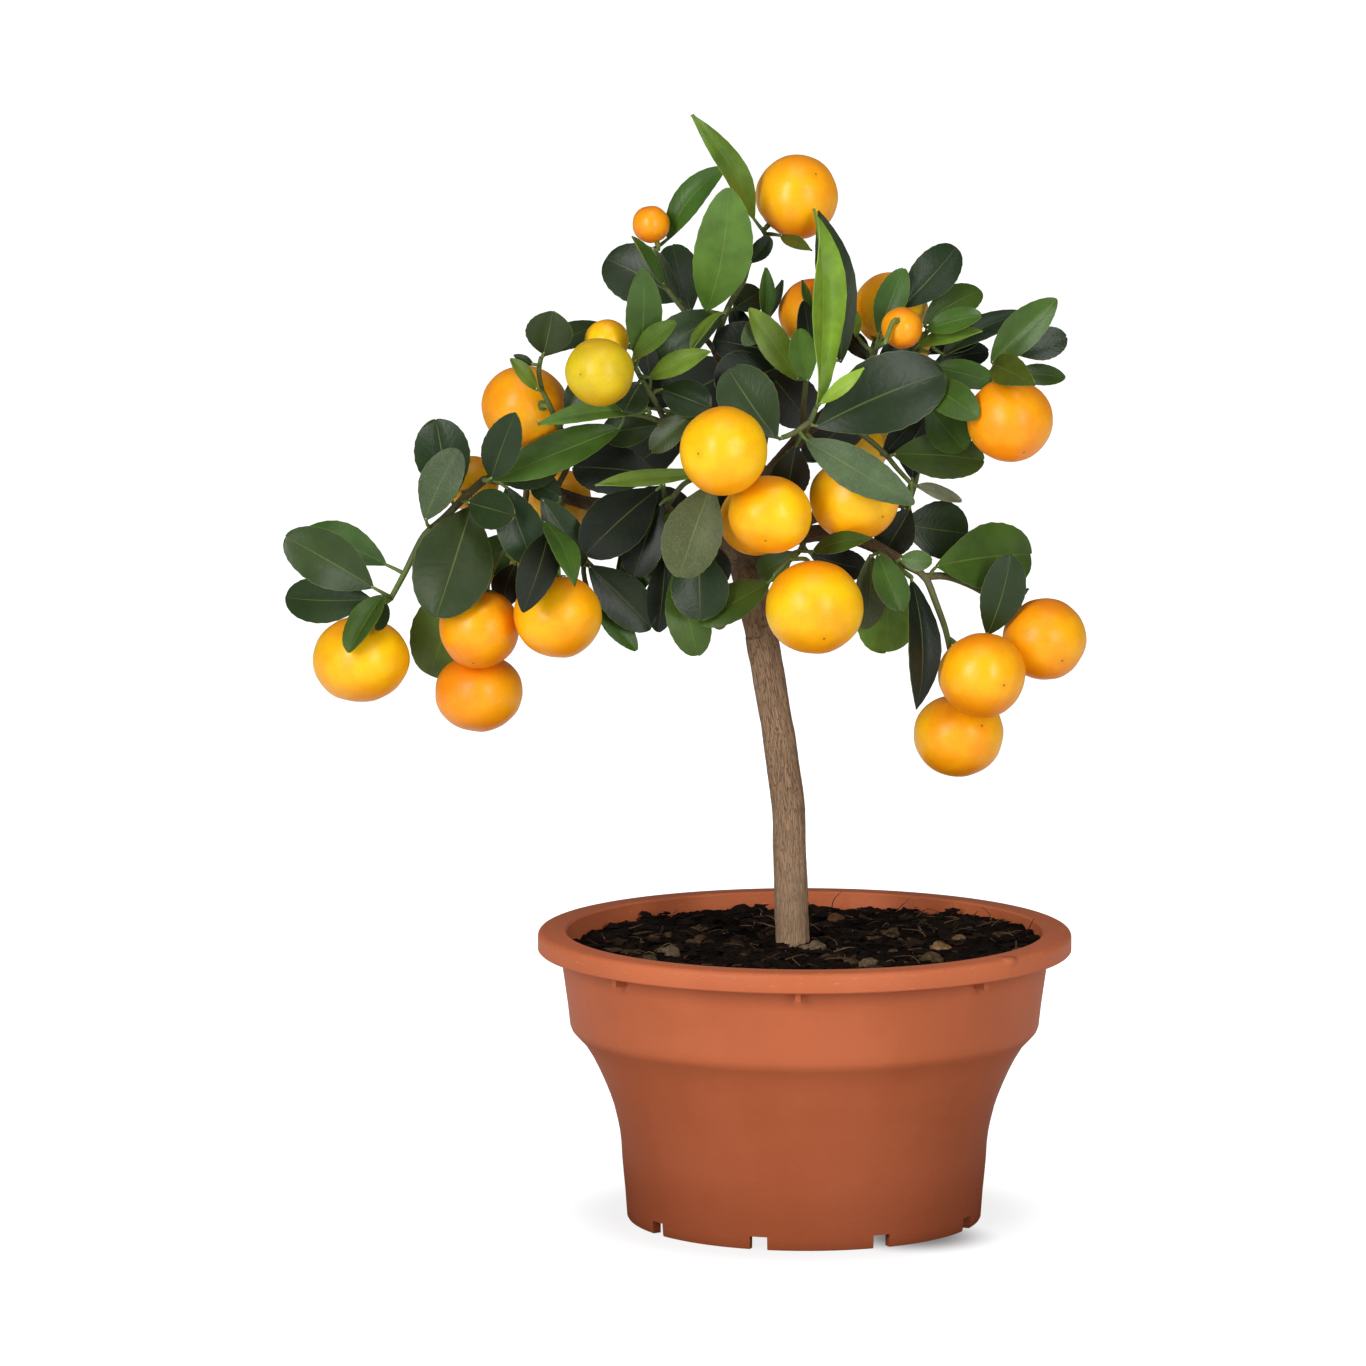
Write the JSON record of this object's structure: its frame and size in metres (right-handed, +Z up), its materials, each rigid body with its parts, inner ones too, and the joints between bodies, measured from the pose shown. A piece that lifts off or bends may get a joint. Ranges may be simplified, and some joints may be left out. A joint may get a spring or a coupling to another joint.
{
  "type": "potted calamondin tree",
  "caption": "Small citrus tree in a round growers' pot: a bare leaning trunk, a spreading leafy crown, and round orange fruit hanging among glossy leaves.",
  "frame": {"origin": "centre of the underside of the pot, on the surface that it stands on", "axes": "+Z up along the pot's axis, -Y towards the front of the tree, +X to the right seen from the front"},
  "size_m": [0.3444, 0.23, 0.478],
  "materials": {
    "pot": "terracotta-coloured moulded polypropylene, satin",
    "soil": "dark peat and bark compost with a few stones, matte",
    "bark": "grey-brown bark with fine upright cracks, matte",
    "peel": "orange peel with fine pores, waxy sheen",
    "leaf": "dark green citrus leaf, glossy above and dull below"
  },
  "bodies": {
    "root": {"pot": "pot", "soil": "soil", "trunk": "bark", "fruit_01": "peel", "fruit_02": "peel", "fruit_03": "peel", "fruit_04": "peel", "fruit_05": "peel", "fruit_06": "peel", "fruit_07": "peel", "fruit_08": "peel", "fruit_09": "peel", "fruit_10": "peel", "fruit_11": "peel", "fruit_12": "peel", "fruit_13": "peel", "fruit_14": "peel", "fruit_15": "peel", "fruit_16": "peel", "fruit_17": "peel", "fruit_18": "peel", "fruit_19": "peel", "fruit_20": "peel", "fruit_21": "peel", "fruit_22": "peel", "fruit_23": "peel", "fruit_24": "peel", "fruit_25": "peel", "fruit_26": "peel", "fruit_27": "peel", "stem_front": "leaf", "stem_top": "leaf", "stem_top_left": "leaf", "stem_left_upper": "leaf", "stem_left_lower": "leaf", "stem_left_bud": "leaf", "stem_far_left": "leaf", "stem_left_front": "leaf", "stem_left_twig": "leaf", "stem_left_drop": "leaf", "stem_left_inner": "leaf", "stem_mid": "leaf", "stem_centre_drop": "leaf", "stem_left_under": "leaf", "stem_centre": "leaf", "stem_centre_back": "leaf", "stem_right_front": "leaf", "stem_right_top": "leaf", "stem_right": "leaf", "stem_right_mid": "leaf", "stem_right_low": "leaf", "stem_right_drop": "leaf", "stem_hanging": "leaf", "stem_under": "leaf", "stem_back_top": "leaf", "stem_back_left": "leaf", "stem_back_low": "leaf", "stem_back_mid": "leaf", "stem_back_right": "leaf"}
  },
  "joints": []
}
